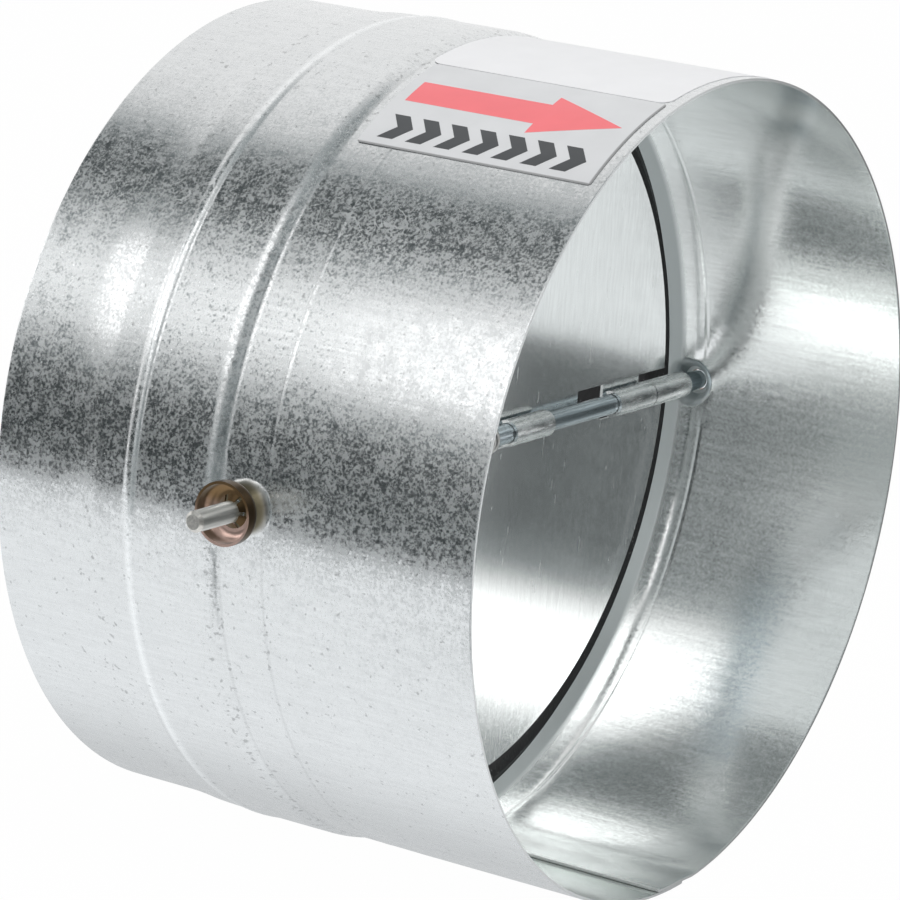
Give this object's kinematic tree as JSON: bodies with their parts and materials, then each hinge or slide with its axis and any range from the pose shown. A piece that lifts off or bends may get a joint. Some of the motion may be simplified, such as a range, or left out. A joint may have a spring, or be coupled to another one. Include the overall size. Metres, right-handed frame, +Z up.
{
  "type": "duct backdraft damper",
  "caption": "Round galvanised duct damper: a beaded tube with sprung half-moon blades on a cross shaft, which open with the airflow and shut on a rubber seal against backdraft.",
  "frame": {"origin": "middle of the casing, on its axis", "axes": "+X along the casing axis the way the air flows, +Y along the hinge shaft, +Z up"},
  "size_m": [0.106, 0.1916, 0.1613],
  "materials": {
    "galvanised_sheet": "bright galvanised, finely speckled",
    "blade_sheet": "smooth galvanised, lightly scratched",
    "seal_rubber": "matt black",
    "zinc_rod": "zinc plated, bluish",
    "bronzed_steel": "brown bronzed, satin",
    "spring_steel": "bright spring wire",
    "flow_label": "silver-grey film with a red arrow",
    "white_label": "plain white paper film"
  },
  "bodies": {
    "casing": {"casing": "galvanised_sheet", "seal_ring": "seal_rubber", "shaft": "zinc_rod", "near_push_washer": "bronzed_steel", "far_push_washer": "bronzed_steel", "torsion_spring": "spring_steel", "flow_label": "flow_label", "plain_label": "white_label"},
    "upper_blade": {"upper_blade": "blade_sheet"},
    "lower_blade": {"lower_blade": "blade_sheet"}
  },
  "joints": [
    {"name": "upper_blade_hinge", "type": "hinge", "parent": "casing", "child": "upper_blade", "pos_m": [0.004, 0, 0.0012], "axis": [0, 1, 0], "range_deg": [0, 85], "stiffness_Nm_per_rad": 0.012, "springref_deg": -28.65, "deforming": ["torsion_spring"]},
    {"name": "lower_blade_hinge", "type": "hinge", "parent": "casing", "child": "lower_blade", "pos_m": [0.004, 0, 0.0012], "axis": [0, -1, 0], "range_deg": [0, 85], "stiffness_Nm_per_rad": 0.012, "springref_deg": -28.65, "deforming": ["torsion_spring"]}
  ]
}
